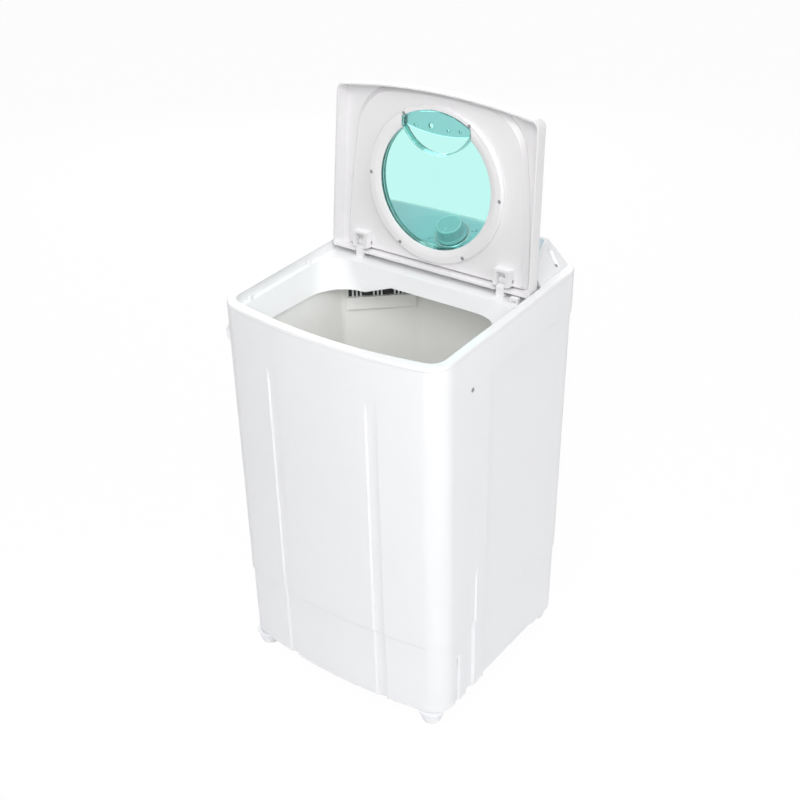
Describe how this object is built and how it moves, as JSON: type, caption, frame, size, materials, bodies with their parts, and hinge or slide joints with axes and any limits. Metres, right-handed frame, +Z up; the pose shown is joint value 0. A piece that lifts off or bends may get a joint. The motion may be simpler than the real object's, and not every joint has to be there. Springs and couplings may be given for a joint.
{
  "type": "mini washing machine",
  "caption": "Small top-loading washing machine with a bowed white body, a hinged lid with a round tinted window, and a sloping timer console.",
  "frame": {"origin": "on the floor under the middle of the machine's outline", "axes": "X to the machine's right as it is used from the front, Y to its back, Z up"},
  "size_m": [0.37, 0.372, 0.8578],
  "materials": {
    "housing_white": "glossy moulded white",
    "frame_white": "glossy moulded white",
    "lid_white": "glossy moulded white",
    "tub_grey": "satin warm grey plastic",
    "window_teal": "clear teal tinted plastic",
    "fascia_blue": "satin blue-grey panel",
    "knob_grey": "satin light grey",
    "trim_silver": "silver painted trim",
    "inner_white": "moulded natural white",
    "dark_plastic": "matt black",
    "rubber_grey": "soft grey rubber",
    "rubber_black": "black rubber",
    "steel": "zinc plated steel"
  },
  "bodies": {
    "cabinet": {"outer_housing": "housing_white", "base": "housing_white", "bottom_cover": "inner_white", "feet": "housing_white", "foot_screws": "steel", "top_frame": "frame_white", "lid_buffers": "rubber_grey", "console_housing": "frame_white", "fascia_panel": "fascia_blue", "dial_ring": "trim_silver", "timer_body": "dark_plastic", "timer_nut": "steel", "console_screws": "dark_plastic", "wash_tub": "tub_grey", "overflow_comb": "tub_grey", "overflow_screen": "dark_plastic", "drain_grille": "tub_grey", "bearing_housing": "inner_white", "upper_bearing": "steel", "lower_bearing": "steel", "shaft_seal": "rubber_black", "chassis_plate": "steel", "motor_body": "steel", "motor_mounts": "rubber_black", "drive_belt": "rubber_black", "capacitor": "inner_white", "capacitor_clip": "steel", "drain_pipe": "inner_white", "rear_cover": "housing_white", "rear_cover_screws": "steel", "lead_gland": "dark_plastic", "side_screws": "dark_plastic", "hose_hook": "housing_white", "hinge_arms": "lid_white", "latch_block": "lid_white"},
    "lid": {"lid_shell": "lid_white", "lid_liner": "lid_white", "lid_window": "window_teal", "finger_cup": "window_teal", "window_ring": "lid_white", "ring_screws": "dark_plastic", "hinge_pins": "steel"},
    "agitator": {"pulsator": "tub_grey", "pulsator_cap": "tub_grey", "drive_shaft": "steel", "large_pulley": "inner_white", "pulley_nut": "steel"},
    "rotor": {"motor_rotor": "steel", "small_pulley": "inner_white"},
    "dial": {"timer_knob": "knob_grey", "timer_shaft": "steel"}
  },
  "joints": [
    {"name": "lid_hinge", "type": "hinge", "parent": "cabinet", "child": "lid", "pos_m": [0, 0.0823, 0.61437], "axis": [1, 0, 0], "range_deg": [0, 96.5]},
    {"name": "pulsator_spin", "type": "hinge", "parent": "cabinet", "child": "agitator", "pos_m": [0, -0.004, 0.15], "axis": [0, 0, 1], "continuous": true},
    {"name": "motor_spin", "type": "hinge", "parent": "cabinet", "child": "rotor", "pos_m": [0, 0.118, 0.15], "axis": [0, 0, 1], "continuous": true},
    {"name": "timer_turn", "type": "hinge", "parent": "cabinet", "child": "dial", "pos_m": [0.008, 0.12338, 0.63959], "axis": [0, 0.4294, -0.9031], "range_deg": [0, 300]}
  ],
  "couplings": [
    {"joint": "motor_spin", "follows": "pulsator_spin", "ratio": 3.5}
  ]
}
